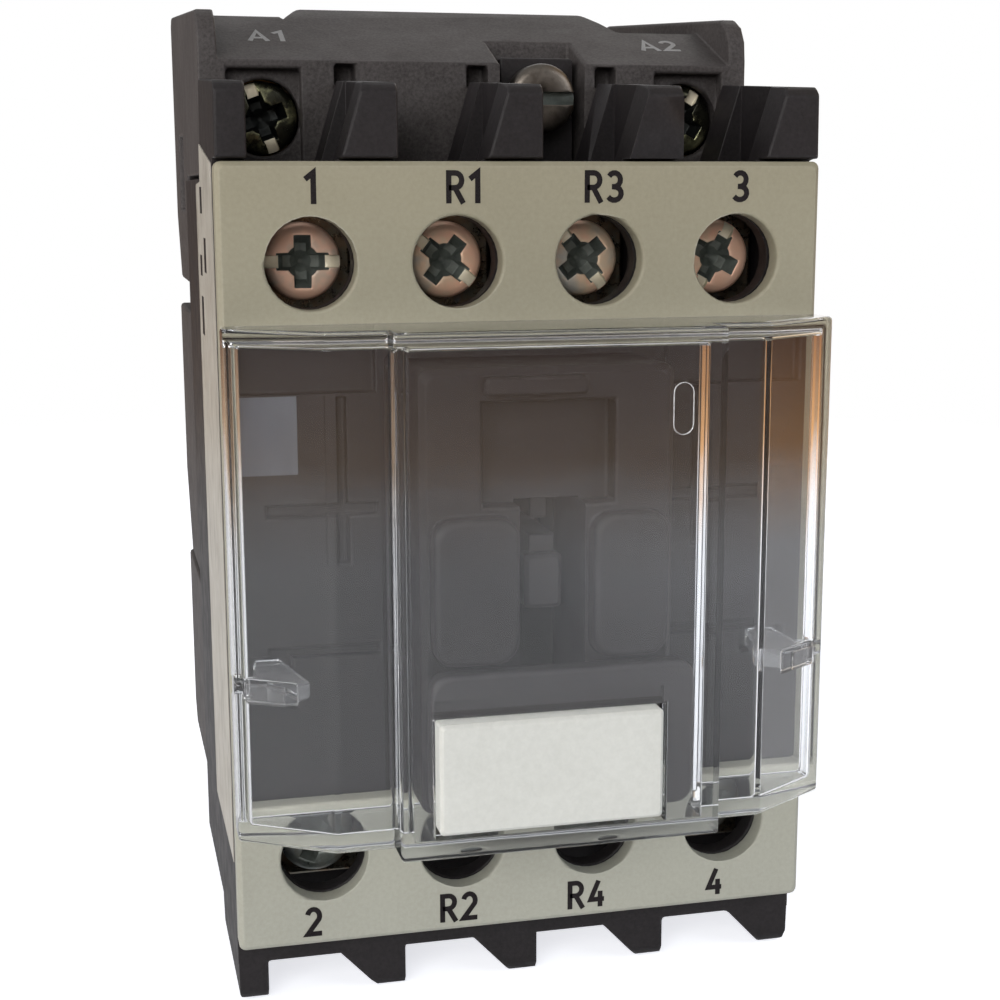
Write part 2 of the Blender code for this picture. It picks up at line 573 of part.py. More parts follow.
def build_housing_screws():
    outline = [(0.0, -62.4), (2.2, -62.4), (2.75, -61.8), (2.75, -60.3), (1.6, -60.3), (1.6, -47.6)]
    outline += [(1.0, -47.0), (0.0, -47.0)]
    upper = turned(5.0, 29.3, outline)
    cut(upper, [box((1.0, 9.0), (-64.0, -61.4), (28.8, 29.8))])
    finish(upper, "housing_screw_1", ZINC, (5.0, -60.3, 29.3))
    outline = [(0.0, -58.0), (1.9, -58.0), (2.4, -57.4), (2.4, -56.0), (1.6, -56.0), (1.6, -38.6)]
    outline += [(1.0, -38.0), (0.0, -38.0)]
    lower = turned(-5.3, -33.0, outline)
    cut(lower, [box((-9.0, -1.0), (-60.0, -57.1), (-33.5, -32.5))])
    finish(lower, "housing_screw_2", ZINC, (-5.3, -56.0, -33.0))


def build_rail_clip():
    profile = [(1.4, -33.0), (3.4, -33.0), (3.4, -17.2), (2.6, -15.8), (1.4, -15.8)]
    clip = prism("x", profile, -8.0, 8.0)
    cuts = [box((-2.6, 2.6), (0.0, 5.0), (-29.0, -19.0)), box((-2.2, 2.2), (0.0, 5.0), (-32.2, -31.0))]
    cut(clip, cuts)
    finish(clip, "rail_clip", BLACK, (0, 2.4, -15.8))
    spring = coil((0.0, 2.4), "z", 0.75, 0.15, -27.2, -19.3, 6.0, 9, 4)
    finish(spring, "rail_clip_spring", SPRING, (0, 2.4, -27.2))


build_base_housing()
build_front_housing()
build_fascia()
build_cover()
build_marker()
build_poles()
build_carrier()
build_magnet()
build_coil_terminals()
build_housing_screws()
build_rail_clip()
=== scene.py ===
"""Looks of the four-pole DIN rail contactor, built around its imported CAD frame.

Points in the mesh code are in millimetres in the CAD frame: +X right, +Y to the rear, +Z up.
"""

import json
import math

import bmesh
import bpy
import numpy as np
from mathutils import Euler, Matrix, Vector


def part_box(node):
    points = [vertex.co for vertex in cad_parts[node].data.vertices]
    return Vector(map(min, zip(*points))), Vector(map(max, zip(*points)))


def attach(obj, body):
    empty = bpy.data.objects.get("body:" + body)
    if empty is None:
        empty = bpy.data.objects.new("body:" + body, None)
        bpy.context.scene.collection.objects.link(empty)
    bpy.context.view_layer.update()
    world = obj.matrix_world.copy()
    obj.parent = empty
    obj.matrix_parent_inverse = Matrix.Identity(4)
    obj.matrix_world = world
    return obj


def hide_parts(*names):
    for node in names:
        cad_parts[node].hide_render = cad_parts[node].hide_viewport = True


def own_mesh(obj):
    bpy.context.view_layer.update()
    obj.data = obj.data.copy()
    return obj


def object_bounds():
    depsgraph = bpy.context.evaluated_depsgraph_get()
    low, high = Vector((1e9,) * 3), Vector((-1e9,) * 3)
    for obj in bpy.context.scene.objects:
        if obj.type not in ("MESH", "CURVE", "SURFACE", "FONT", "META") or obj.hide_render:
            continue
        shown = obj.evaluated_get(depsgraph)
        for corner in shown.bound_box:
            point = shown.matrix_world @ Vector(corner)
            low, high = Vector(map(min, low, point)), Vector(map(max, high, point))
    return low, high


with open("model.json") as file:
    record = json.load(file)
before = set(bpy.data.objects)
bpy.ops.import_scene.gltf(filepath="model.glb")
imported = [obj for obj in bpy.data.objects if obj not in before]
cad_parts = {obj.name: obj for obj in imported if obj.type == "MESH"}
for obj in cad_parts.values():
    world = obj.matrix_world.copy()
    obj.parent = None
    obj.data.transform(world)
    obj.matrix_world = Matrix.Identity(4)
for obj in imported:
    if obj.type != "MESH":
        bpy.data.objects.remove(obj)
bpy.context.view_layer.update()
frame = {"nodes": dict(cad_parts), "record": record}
NODES = frame["nodes"]
BODY_OF = {}
for body_name, members in frame["record"]["behaviour"]["bodies"].items():
    for member in members:
        BODY_OF[member] = body_name

MM = 0.001
LEFT = -22.5                                  # left side of the housings
FASCIA_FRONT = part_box("fascia")[0].y / MM
MID = -5.0                                    # height of the middle of the fascia
POLES = [-15.93, -5.31, 5.31, 15.93]          # x of the four terminal columns
WELD = 2e-6                                   # points nearer than this, in metres, are one


# ---------------------------------------------------------------- mesh code
def link(mesh, name="shape"):
    made = bpy.data.objects.new(name, mesh)
    bpy.context.scene.collection.objects.link(made)
    return made


def make(points, faces):
    """Object from points in millimetres, with its faces turned outwards."""
    mesh = bpy.data.meshes.new("shape")
    mesh.from_pydata([Vector(p) * MM for p in points], [], faces)
    work = bmesh.new()
    work.from_mesh(mesh)
    bmesh.ops.recalc_face_normals(work, faces=work.faces)
    work.to_mesh(mesh)
    work.free()
    return link(mesh)


def loft(rings, closed=False):
    """Skin through rings of equally many points, capped at both ends unless closed."""
    count = len(rings[0])
    points = [p for ring in rings for p in ring]
    faces = []
    for level in range(len(rings) if closed else len(rings) - 1):
        here, there = level * count, (level + 1) % len(rings) * count
        for i in range(count):
            j = (i + 1) % count
            faces.append((here + i, here + j, there + j, there + i))
    if not closed:
        faces.append(tuple(range(count)))
        faces.append(tuple(range(len(points) - count, len(points))))
    return make(points, faces)


def prism(axis, outline, low, high):
    """Outline extruded along an axis. Outline points hold the other two axes in order."""
    def at(a, b, c):
        return {"x": (c, a, b), "y": (a, c, b), "z": (a, b, c)}[axis]
    return loft([[at(a, b, c) for a, b in outline] for c in (low, high)])


def block(x, y, z):
    return prism("z", [(x[0], y[0]), (x[1], y[0]), (x[1], y[1]), (x[0], y[1])], z[0], z[1])


def circle(x, z, radius, segments=32):
    turns = [2 * math.pi * step / segments for step in range(segments)]
    return [(x + radius * math.cos(a), z + radius * math.sin(a)) for a in turns]


def arc(cx, cz, rx, rz, start, end, steps=10):
    turns = [math.radians(start + (end - start) * i / steps) for i in range(steps + 1)]
    return [(cx + rx * math.cos(a), cz + rz * math.sin(a)) for a in turns]


def turned(outline, segments=48):
    """Body of revolution about the Y axis. Outline holds radius and y, without its end points."""
    return loft([[(x, y, z) for x, z in circle(0, 0, radius, segments)] for radius, y in outline])


def baked(thing):
    """Apply every modifier of an object."""
    bpy.context.view_layer.update()
    graph = bpy.context.evaluated_depsgraph_get()
    mesh = bpy.data.meshes.new_from_object(thing.evaluated_get(graph))
    thing.modifiers.clear()
    thing.data = mesh
    return thing


def combine(target, kind, others):
    """Boolean of one object with others, which are used up."""
    for other in others:
        step = target.modifiers.new("step", "BOOLEAN")
        step.operation = kind
        step.solver = "EXACT"
        step.object = other
    baked(target)
    for other in others:
        bpy.data.objects.remove(other)
    return target


def join(target, *others):
    return combine(target, "UNION", others)


def cut(target, *others):
    return combine(target, "DIFFERENCE", others)


def tidy_faces(work):
    """Merge double points and the faces that lie in one plane."""
    bmesh.ops.remove_doubles(work, verts=work.verts, dist=WELD)
    bmesh.ops.dissolve_limit(work, angle_limit=math.radians(0.6), verts=work.verts,
                             edges=work.edges)


def free_room(work, sharp):
    """For each sharp edge, how far it may be rounded before it meets another edge of its faces."""
    room = {edge: 1.0 for edge in sharp}
    for face in work.faces:
        edges = list(face.edges)
        if not any(edge in sharp for edge in edges):
            continue
        a = np.array([edge.verts[0].co for edge in edges])
        b = np.array([edge.verts[1].co for edge in edges])
        points = np.array([v.co for v in face.verts])
        index = {v.index: i for i, v in enumerate(face.verts)}
        ends = np.array([[index[v.index] for v in edge.verts] for edge in edges])
        span = b - a
        length = np.maximum((span * span).sum(1), 1e-18)
        part = np.clip(((points[:, None] - a[None]) * span[None]).sum(2) / length[None], 0, 1)
        apart = np.linalg.norm(points[:, None] - (a[None] + part[:, :, None] * span[None]), axis=2)
        between = np.minimum(apart[ends[:, 0]], apart[ends[:, 1]])
        between = np.minimum(between, between.T)
        touching = (ends[:, None, :, None] == ends[None, :, None, :]).any(axis=(2, 3))
        nearest = np.where(touching, 1.0, between).min(1)
        for i, edge in enumerate(edges):
            if edge in sharp:
                room[edge] = min(room[edge], 0.45 * nearest[i])
    for edge in sharp:
        near = [e.calc_length() for v in edge.verts for e in v.link_edges]
        room[edge] = min(room[edge], 0.42 * min(near))
    return room


def tangles(mesh):
    """Points where the outline of a face crosses itself."""
    spots = []
    places = np.array([v.co for v in mesh.vertices])
    for face in mesh.polygons:
        if len(face.vertices) < 4:
            continue
        points = places[list(face.vertices)]
        across = face.normal.orthogonal().normalized()
        up = face.normal.cross(across)
        flat = np.stack([points @ np.array(across), points @ np.array(up)], 1)
        span = np.roll(flat, -1, 0) - flat
        apart = flat[None] - flat[:, None]
        turn = span[:, None, 0] * span[None, :, 1] - span[:, None, 1] * span[None, :, 0]
        turn = np.where(np.abs(turn) < 1e-16, np.inf, turn)
        here = (apart[..., 0] * span[None, :, 1] - apart[..., 1] * span[None, :, 0]) / turn
        there = (apart[..., 0] * span[:, None, 1] - apart[..., 1] * span[:, None, 0]) / turn
        crossed = (here > 0.002) & (here < 0.998) & (there > 0.002) & (there < 0.998)
        for i in np.nonzero(crossed.any(1))[0]:
            spots.append(points[i])
            spots.append(points[(i + 1) % len(points)])
    return spots


def soften(thing, width, segments=2, angle=30.0, edge_material=None):
    """Round the edges sharper than an angle, less where there is little room, and shade smooth."""
    work = bmesh.new()
    work.from_mesh(thing.data)
    tidy_faces(work)
    work.verts.index_update()
    work.edges.index_update()
    if work.edges.layers.float.get("bevel_weight_edge") is None:
        work.edges.layers.float.new("bevel_weight_edge")
    sharp = set()
    for edge in work.edges:
        if len(edge.link_faces) == 2 and edge.calc_face_angle(0.0) > math.radians(angle):
            sharp.add(edge)
    weights = {}
    for edge, room in free_room(work, sharp).items():
        share = room / (width * MM)
        weights[edge.index] = min(1.0, share) if share > 0.1 else 0.0
    plain = bpy.data.meshes.new("plain")
    work.to_mesh(plain)
    starts = np.array([e.verts[0].co for e in work.edges])
    spans = np.array([e.verts[1].co for e in work.edges]) - starts
    work.free()
    lengths = np.maximum((spans * spans).sum(1), 1e-18)
    for attempt in range(10):
        thing.data = plain.copy()
        values = thing.data.attributes["bevel_weight_edge"].data
        for index in range(len(values)):
            values[index].value = weights.get(index, 0.0)
        bevel = thing.modifiers.new("round", "BEVEL")
        bevel.limit_method = "WEIGHT"
        bevel.width = width * MM
        bevel.segments = segments
        bevel.use_clamp_overlap = False
        if edge_material is not None:
            bevel.material = edge_material
        baked(thing)
        spots = tangles(thing.data)
        if not spots:
            break
        for spot in spots:
            part = np.clip(((spot - starts) * spans).sum(1) / lengths, 0, 1)
            away = np.linalg.norm(spot - (starts + part[:, None] * spans), axis=1)
            for index in np.nonzero(away < 1.3 * width * MM)[0]:
                if index in weights:
                    weights[index] = weights[index] * 0.5 if attempt < 4 else 0.0
    return shade(thing)


def shade(thing, angle=40.0):
    """Shade smooth, with edges sharper than an angle kept sharp."""
    for face in thing.data.polygons:
        face.use_smooth = True
    thing.data.set_sharp_from_angle(angle=math.radians(angle))
    weighted = thing.modifiers.new("normals", "WEIGHTED_NORMAL")
    weighted.keep_sharp = True
    return baked(thing)


def placed(thing, matrix):
    thing.data.transform(matrix)
    return thing


def copied(node):
    """Copy of a CAD node's mesh, to be worked on and to stand for it."""
    return link(NODES[node].data.copy())


def piece(thing, name, surface, body, slot, *replaced):
    """Name a finished mesh and say what it moves with and what it stands for."""
    surfaces = surface if isinstance(surface, (list, tuple)) else [surface]
    thing.name = name
    thing.data.name = name
    indices = [face.material_index for face in thing.data.polygons]
    thing.data.materials.clear()
    for one in surfaces:
        thing.data.materials.append(one)
    for face, index in zip(thing.data.polygons, indices):
        face.material_index = index if len(surfaces) > 1 else 0
    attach(thing, body)
    if replaced:
        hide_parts(*replaced)
    return thing


# ---------------------------------------------------------------- materials
class Surface:
    """A material with a Principled shader and short ways to add nodes."""

    def __init__(self, name, **sockets):
        self.material = bpy.data.materials.new(name)
        self.material.use_nodes = True
        self.tree = self.material.node_tree
        self.shader = self.tree.nodes["Principled BSDF"]
        self.output = self.tree.nodes["Material Output"]
        self.place = self.add("TexCoord").outputs["Object"]
        for key, value in sockets.items():
            self.shader.inputs[key.replace("_", " ")].default_value = value

    def add(self, kind, inputs=(), **settings):
        made = self.tree.nodes.new("ShaderNode" + kind)
        for key, value in settings.items():
            setattr(made, key, value)
        for key, value in dict(inputs).items():
            if isinstance(value, bpy.types.NodeSocket):
                self.tree.links.new(value, made.inputs[key])
            else:
                made.inputs[key].default_value = value
        return made

    def set(self, socket, value):
        self.tree.links.new(value, self.shader.inputs[socket])

    def noise(self, size, detail=2.0, rough=0.5, stretch=None):
        """Noise whose blobs are about so many millimetres across."""
        vector = self.place
        if stretch:
            vector = self.add("Mapping", {"Vector": vector, "Scale": stretch}).outputs["Vector"]
        return self.add("TexNoise", {"Vector": vector, "Scale": 1.0 / (size * MM), "Detail": detail,
                                     "Roughness": rough}).outputs["Fac"]

    def ramp(self, value, stops):
        made = self.add("ValToRGB", {"Fac": value})
        while len(made.color_ramp.elements) < len(stops):
            made.color_ramp.elements.new(0.5)
        for element, (position, colour) in zip(made.color_ramp.elements, stops):
            element.position = position
            element.color = (*colour, 1.0)
        return made.outputs["Color"]

    def mix(self, factor, a, b, blend="MIX"):
        made = self.add("Mix", data_type="RGBA", blend_type=blend)
        for index, value in ((0, factor), (6, a), (7, b)):
            if isinstance(value, bpy.types.NodeSocket):
                self.tree.links.new(value, made.inputs[index])
            elif index == 0:
                made.inputs[0].default_value = value
            else:
                made.inputs[index].default_value = (*value, 1.0)
        return made.outputs[2]

    def math(self, operation, a, b=0.0):
        made = self.add("Math", {0: a, 1: b}, operation=operation)
        return made.outputs[0]

    def range(self, value, low, high, start=0.3, end=0.7):
        return self.add("MapRange", {"Value": value, "From Min": start, "From Max": end,
                                     "To Min": low, "To Max": high}).outputs["Result"]

    def bump(self, height, distance, strength=1.0, under=None):
        inputs = {"Height": height, "Distance": distance * MM, "Strength": strength}
        if under is not None:
            inputs["Normal"] = under
        return self.add("Bump", inputs).outputs["Normal"]

    def edges(self, reach):
        """1 on edges and 0 elsewhere, within so many millimetres of the edge."""
        soft = self.add("Bevel", {"Radius": reach * MM}, samples=4).outputs["Normal"]
        true = self.add("NewGeometry").outputs["Normal"]
        dot = self.add("VectorMath", {0: soft, 1: true}, operation="DOT_PRODUCT").outputs["Value"]
        return self.range(dot, 1.0, 0.0, 0.80, 0.995)


LIGHT_BY_HEIGHT_BETWEEN = (-0.032, 0.022)                # heights in metres that the painted light-and-shade tints run between


def plastic(name, dark, light, rough, grain=0.30, relief=0.006, broad=9.0, edge_wear_and_highlight=None, wear_and_highlight_share=0.5,
            edge=0.25, light_by_height=None, **sockets):
    """Moulded plastic: slow and fine colour change, spark-eroded grain and paler edges, from wear
    and painted highlight.

    The tints by height, for the lower and the upper end of the object, are painted light and shade.
    """
    s = Surface(name, **sockets)
    slow = s.noise(broad, 3.0, 0.6)
    fine = s.noise(grain, 3.0, 0.65)
    blotch = s.math("ADD", s.math("MULTIPLY", slow, 0.35), s.math("MULTIPLY", fine, 0.65))
    colour = s.ramp(blotch, [(0.35, dark), (0.65, light)])
    # Painted light and shade: the colour is tinted by height, as the lamps fall on the part.
    if light_by_height:
        height = s.add("SeparateXYZ", {"Vector": s.place}).outputs["Z"]
        tint = s.mix(s.range(height, 0.0, 1.0, *LIGHT_BY_HEIGHT_BETWEEN), *light_by_height)
        colour = s.mix(1.0, colour, tint, "MULTIPLY")
    # Paler edges: partly wear in patches, and partly painted highlight where light catches the
    # rounded edges.
    if edge_wear_and_highlight:
        patchy = s.range(s.noise(1.4, 4.0, 0.7), 0.15, wear_and_highlight_share, 0.35, 0.65)
        rub_and_highlight = s.math("MULTIPLY", s.edges(edge), patchy)
        colour = s.mix(rub_and_highlight, colour, edge_wear_and_highlight)
    s.set("Base Color", colour)
    s.set("Roughness", s.range(s.noise(2.2, 4.0, 0.6), rough[0], rough[1]))
    s.set("Normal", s.bump(fine, relief))
    return s.material


def metal(name, tones, rough, size=1.2, relief=0.004, stretch=None, metallic=1.0, **sockets):
    """Plated or bare metal: patches of tone, cloudy roughness and fine scratches."""
    s = Surface(name, Metallic=metallic, **sockets)
    patches = s.noise(size, 4.0, 0.62, stretch)
    stops = [(0.30 + 0.4 * i / (len(tones) - 1), tone) for i, tone in enumerate(tones)]
    s.set("Base Color", s.ramp(patches, stops))
    s.set("Roughness", s.range(s.noise(size * 0.4, 4.0, 0.7), rough[0], rough[1]))
    s.set("Normal", s.bump(s.noise(0.12, 3.0, 0.7, stretch or (1.0, 1.0, 6.0)), relief))
    return s.material


# Painted light and shade: the fascia is tinted cooler and paler at the bottom, warmer and darker at
# the top.
FASCIA = plastic("fascia_cream", (0.355, 0.332, 0.262), (0.400, 0.376, 0.300), (0.46, 0.60),
                 grain=0.35, relief=0.004, edge_wear_and_highlight=(0.52, 0.51, 0.46), wear_and_highlight_share=0.5,
                 light_by_height=((0.97, 1.03, 1.10), (0.83, 0.81, 0.73)), Specular_IOR_Level=0.35)
HOUSING = plastic("housing_black", (0.009, 0.0075, 0.0083), (0.019, 0.016, 0.0175), (0.46, 0.58),
                  grain=0.26, relief=0.010, edge_wear_and_highlight=(0.060, 0.055, 0.055), wear_and_highlight_share=0.4,
                  Specular_IOR_Level=0.25)
BASE = plastic("base_black", (0.028, 0.024, 0.024), (0.074, 0.066, 0.065), (0.54, 0.64),
               grain=0.24, relief=0.012, edge_wear_and_highlight=(0.10, 0.09, 0.09), wear_and_highlight_share=0.4,
               Specular_IOR_Level=0.3)
CARRIER = plastic("carrier_black", (0.018, 0.016, 0.017), (0.030, 0.027, 0.028), (0.42, 0.55),
                  grain=0.25, relief=0.006, edge_wear_and_highlight=(0.09, 0.085, 0.085), Specular_IOR_Level=0.35)
MARKER = plastic("marker_white", (0.610, 0.615, 0.575), (0.670, 0.675, 0.635), (0.40, 0.54),
                 grain=0.5, relief=0.005, edge_wear_and_highlight=(0.76, 0.76, 0.73))
CLIP = plastic("clip_black", (0.030, 0.029, 0.030), (0.045, 0.043, 0.044), (0.40, 0.55),
               edge_wear_and_highlight=(0.15, 0.15, 0.15))
NYLON = plastic("bobbin_nylon", (0.52, 0.50, 0.42), (0.60, 0.58, 0.50), (0.40, 0.55))
RUBBER = plastic("buffer_rubber", (0.020, 0.020, 0.020), (0.035, 0.034, 0.034), (0.75, 0.9),
                 grain=0.2, relief=0.02)
PRINT = plastic("printed_ink", (0.008, 0.006, 0.007), (0.020, 0.016, 0.017), (0.5, 0.7),
                grain=0.12, relief=0.003, Specular_IOR_Level=0.12)
PALE_PRINT = plastic("pale_ink", (0.20, 0.20, 0.20), (0.32, 0.32, 0.32), (0.5, 0.7),
                     grain=0.12, relief=0.003)
GILT = metal("screw_gilt", [(0.46, 0.46, 0.42), (0.74, 0.56, 0.40), (0.92, 0.56, 0.40),
                            (0.88, 0.58, 0.44), (0.54, 0.50, 0.42)],
             (0.34, 0.50), size=7.0, relief=0.003, metallic=0.38)
# Painted shade: a darker, greyer copy of the screw finish, for the lower row of the same screws.
LOWER_SCREW_SHADE = metal("screw_lower_painted_shade", [(0.13, 0.15, 0.14), (0.24, 0.26, 0.24), (0.20, 0.19, 0.16),
                                (0.34, 0.36, 0.34)],
               (0.24, 0.42), size=3.0, relief=0.003, metallic=0.7)
# Painted highlight: pale tan for the slot ends of the upper terminal screws and the coil screws.
SLOT_HIGHLIGHT = metal("slot_painted_highlight", [(0.62, 0.56, 0.42), (0.74, 0.68, 0.54)], (0.35, 0.5), size=2.0,
            metallic=0.35)
# Painted shade: dark grey for the recesses and slots of the screw heads.
RECESS_SHADE = metal("recess_painted_shade", [(0.11, 0.125, 0.115), (0.20, 0.22, 0.20)], (0.40, 0.6), size=1.2,
             metallic=0.4, Specular_IOR_Level=0.3)
# Painted shade: near black for the recess of the coil screws, deep in their holes.
DEEP_RECESS_SHADE = metal("deep_recess_painted_shade", [(0.020, 0.022, 0.022), (0.04, 0.043, 0.042)], (0.45, 0.6), size=1.2,
              Specular_IOR_Level=0.2)
# Painted shade: a dark copy of the gilt finish for the coil screws deep in their holes; its pale
# patches are painted glints.
COIL_SCREW_SHADE = metal("coil_screw_painted_shade", [(0.020, 0.020, 0.018), (0.05, 0.05, 0.035), (0.46, 0.46, 0.26)],
             (0.22, 0.4), size=2.2, metallic=0.9)
# Painted shade: chromated zinc darkened to about a third, for the washers seen behind the screw
# heads.
ZINC_SHADED = metal("zinc_chromate_shaded", [(0.20, 0.20, 0.18), (0.24, 0.22, 0.17), (0.26, 0.19, 0.13),
                               (0.21, 0.20, 0.19)], (0.20, 0.42), size=1.6)
STEEL = metal("dark_steel", [(0.080, 0.068, 0.058), (0.13, 0.115, 0.10), (0.095, 0.085, 0.075)],
              (0.30, 0.48), size=1.5)
WIRE = metal("spring_wire", [(0.42, 0.42, 0.43), (0.55, 0.55, 0.56)], (0.25, 0.4), size=0.8)
BRASS = metal("contact_brass", [(0.62, 0.44, 0.20), (0.74, 0.56, 0.28), (0.58, 0.40, 0.20)],
              (0.25, 0.45), size=1.8)
COPPER = metal("shading_copper", [(0.70, 0.34, 0.20), (0.80, 0.44, 0.28)], (0.28, 0.45), size=1.5)

IRON_SHEET = 0.5                              # thickness of one stamping
ENAMEL_WIRE = 0.16                            # thickness of the coil's wire


def laminated():
    """Stack of stamped iron sheets across X."""
    s = Surface("laminated_iron", Metallic=1.0)
    split = s.add("SeparateXYZ", {"Vector": s.place}).outputs["X"]
    sheet = s.math("PINGPONG", s.math("MULTIPLY", split, 1.0 / (IRON_SHEET * MM)), 0.5)
    seam = s.range(sheet, 0.0, 1.0, 0.0, 0.12)
    face = s.ramp(s.noise(1.5, 4.0), [(0.35, (0.30, 0.30, 0.31)), (0.65, (0.42, 0.41, 0.40))])
    s.set("Base Color", s.mix(seam, (0.10, 0.095, 0.09), face))
    s.set("Roughness", s.range(s.noise(0.8, 3.0), 0.32, 0.55))
    s.set("Normal", s.bump(seam, 0.05))
    return s.material


def wound():
    """Layer of enamelled wire wound about the Y axis."""
    s = Surface("wound_wire")
    split = s.add("SeparateXYZ", {"Vector": s.place}).outputs["Y"]
    turn = s.math("PINGPONG", s.math("MULTIPLY", split, 1.0 / (ENAMEL_WIRE * MM)), 0.5)
    crest = s.ramp(s.noise(3.0, 3.0), [(0.35, (0.40, 0.14, 0.05)), (0.65, (0.52, 0.20, 0.07))])
    s.set("Base Color", s.mix(s.range(turn, 0.0, 1.0, 0.0, 0.4), (0.12, 0.035, 0.012), crest))
    s.set("Roughness", s.range(s.noise(1.0, 3.0), 0.22, 0.42))
    s.set("Normal", s.bump(turn, 0.08))
    return s.material


IRON = laminated()
ENAMEL = wound()
ACRYLIC_IOR = 1.49


def clear(name, tint, rough, haze, haze_tone):
    """See-through moulded plastic: shadow rays pass, and haze adds a little milkiness."""
    s = Surface(name)
    s.tree.nodes.remove(s.shader)
    wave = s.bump(s.noise(7.0, 2.0, 0.5), 0.02)
    rough_map = s.range(s.noise(3.0, 3.0, 0.6), rough * 0.6, rough * 1.4)
    glass = s.add("BsdfGlass", {"Color": (*tint, 1.0), "IOR": ACRYLIC_IOR, "Roughness": rough_map,
                                "Normal": wave})
    dusty = s.range(s.noise(0.9, 5.0, 0.75), haze * 0.6, haze * 1.5)
    body = s.add("BsdfDiffuse", {"Color": (*haze_tone, 1.0)})
    solid = s.add("MixShader", {0: dusty, 1: glass.outputs[0], 2: body.outputs[0]})
    through = s.add("BsdfTransparent", {"Color": (0.93, 0.94, 0.95, 1.0)})
    ray = s.add("LightPath").outputs["Is Shadow Ray"]
    final = s.add("MixShader", {0: ray, 1: solid.outputs[0], 2: through.outputs[0]})
    s.tree.links.new(final.outputs[0], s.output.inputs["Surface"])
    return s.material


CLEAR = clear("clear_plastic", (0.97, 0.975, 0.98), 0.03, 0.004, (0.8, 0.82, 0.86))
CLEAR_TONGUE = clear("clear_plastic_tongue", (0.97, 0.975, 0.98), 0.05, 0.05, (0.9, 0.9, 0.92))
CLEAR_EDGE = clear("clear_plastic_edge", (0.96, 0.97, 0.98), 0.08, 0.26, (0.95, 0.95, 0.95))


# ---------------------------------------------------------------- housings
def refined(node, name, surface, slot, width, squeeze=0.0, segments=2):
    """Stand for a CAD node with a copy whose edges are rounded."""
    thing = copied(node)
    if squeeze:
        half = max(abs(v.co.x) for v in thing.data.vertices)
        placed(thing, Matrix.Diagonal((1.0 - squeeze * MM / half, 1.0, 1.0, 1.0)))
    soften(thing, width, segments)
    return piece(thing, name, surface, BODY_OF[node], slot, node)


refined("front_housing", "front_shell", HOUSING, "housing_plastic", 0.28, squeeze=0.06)
refined("base_housing", "base_shell", BASE, "base_plastic", 0.30)
refined("fascia", "fascia_plate", FASCIA, "fascia_plastic", 0.30, squeeze=0.04)
refined("contact_carrier", "carrier_body", CARRIER, "carrier_plastic", 0.2)
refined("marker_holder", "marker_frame", CARRIER, "carrier_plastic", 0.2)
refined("marker_plate", "marker_tag", MARKER, "marker_plastic", 0.25)
refined("rail_clip", "rail_latch", CLIP, "housing_plastic", 0.2)
refined("coil_bobbin", "bobbin_body", NYLON, "bobbin_nylon", 0.2)
refined("coil_winding", "winding_body", ENAMEL, "winding_enamel", 0.3)
refined("fixed_core", "core_stack", IRON, "laminated_iron", 0.15)
refined("armature_core", "armature_stack", IRON, "laminated_iron", 0.15)
refined("core_buffer", "buffer_pad", RUBBER, "buffer_rubber", 0.2)
refined("armature_pin", "armature_rod", WIRE, "spring_steel", 0.12)
for number in (1, 2):
    refined("shading_ring_%d" % number, "shading_loop_%d" % number, COPPER, "copper", 0.15)
    refined("coil_terminal_a%d" % number, "coil_tail_a%d" % number, BRASS, "contact_brass", 0.12)
    refined("coil_clamp_a%d" % number, "coil_washer_a%d" % number, ZINC_SHADED, "zinc_steel", 0.12)
for number in range(1, 5):
    refined("moving_contact_%d" % number, "bridge_%d" % number, BRASS, "contact_brass", 0.12)
    for row in ("upper", "lower"):
        tail = "%s_%d" % (row, number)
        refined("fixed_contact_" + tail, "bar_" + tail, BRASS, "contact_brass", 0.12)
        refined("terminal_clamp_" + tail, "washer_" + tail, ZINC_SHADED, "zinc_steel", 0.12)
    NODES["contact_spring_%d" % number].data.materials.clear()
    NODES["contact_spring_%d" % number].data.materials.append(WIRE)


# ---------------------------------------------------------------- screws
# Front of a head: share of its radius, and how far behind its front in millimetres.
DOME = [(0.02, 0.0), (0.50, 0.01), (0.76, 0.07), (0.88, 0.17), (0.96, 0.36), (1.0, 0.70)]
CROSS_DEPTH = 1.35
CROSS_REACH = 2.05                            # half length of an arm of the cross at the front
CROSS_HALF = 0.66                             # half width of an arm at the front


def screw_head(radius, height, slot_half, slot_depth, cross):
    """Low domed head at y from 0 to height, with a driver recess cut from its front."""
    rim = [(max(share * radius, 0.02), y) for share, y in DOME]
    head = turned(rim + [(radius, height - 0.15), (radius - 0.12, height), (0.02, height)], 56)
    cuts = [block((-radius - 1, radius + 1), (-1.0, slot_depth), (-slot_half, slot_half))]
    if cross:
        for turn in (0, 90):
            levels = ((-0.2, CROSS_REACH, CROSS_HALF), (CROSS_DEPTH, 1.35, 0.44))
            arm = loft([[(-a, y, -b), (a, y, -b), (a, y, b), (-a, y, b)] for y, a, b in levels])
            cuts.append(placed(arm, Matrix.Rotation(math.radians(turn), 4, "Y")))
        levels = ((-0.2, 1.30), (CROSS_DEPTH, 0.8), (CROSS_DEPTH + 0.5, 0.15))
        cuts.append(loft([[(x, y, z) for x, z in circle(0, 0, r, 24)] for y, r in levels]))
    cut(head, *cuts)
    return head


def mark_recess(head, radius, height, slot_half, slot_depth):
    """Number the faces of the recess 1 and those of the slot ends 2, for their own painted shade or
    highlight.
    """
    for face in head.data.polygons:
        x, y, z = (v / MM for v in face.center)
        out = math.hypot(x, z)
        skin = np.interp(out, [share * radius for share, _ in DOME], [back for _, back in DOME])
        if y < skin + 0.05 or y > height - 0.2 or out > radius - 0.06:
            face.material_index = 0
        elif abs(z) <= slot_half + 0.02 and y < slot_depth + 0.05 and out > 1.75:
            face.material_index = 2
        else:
            face.material_index = 1


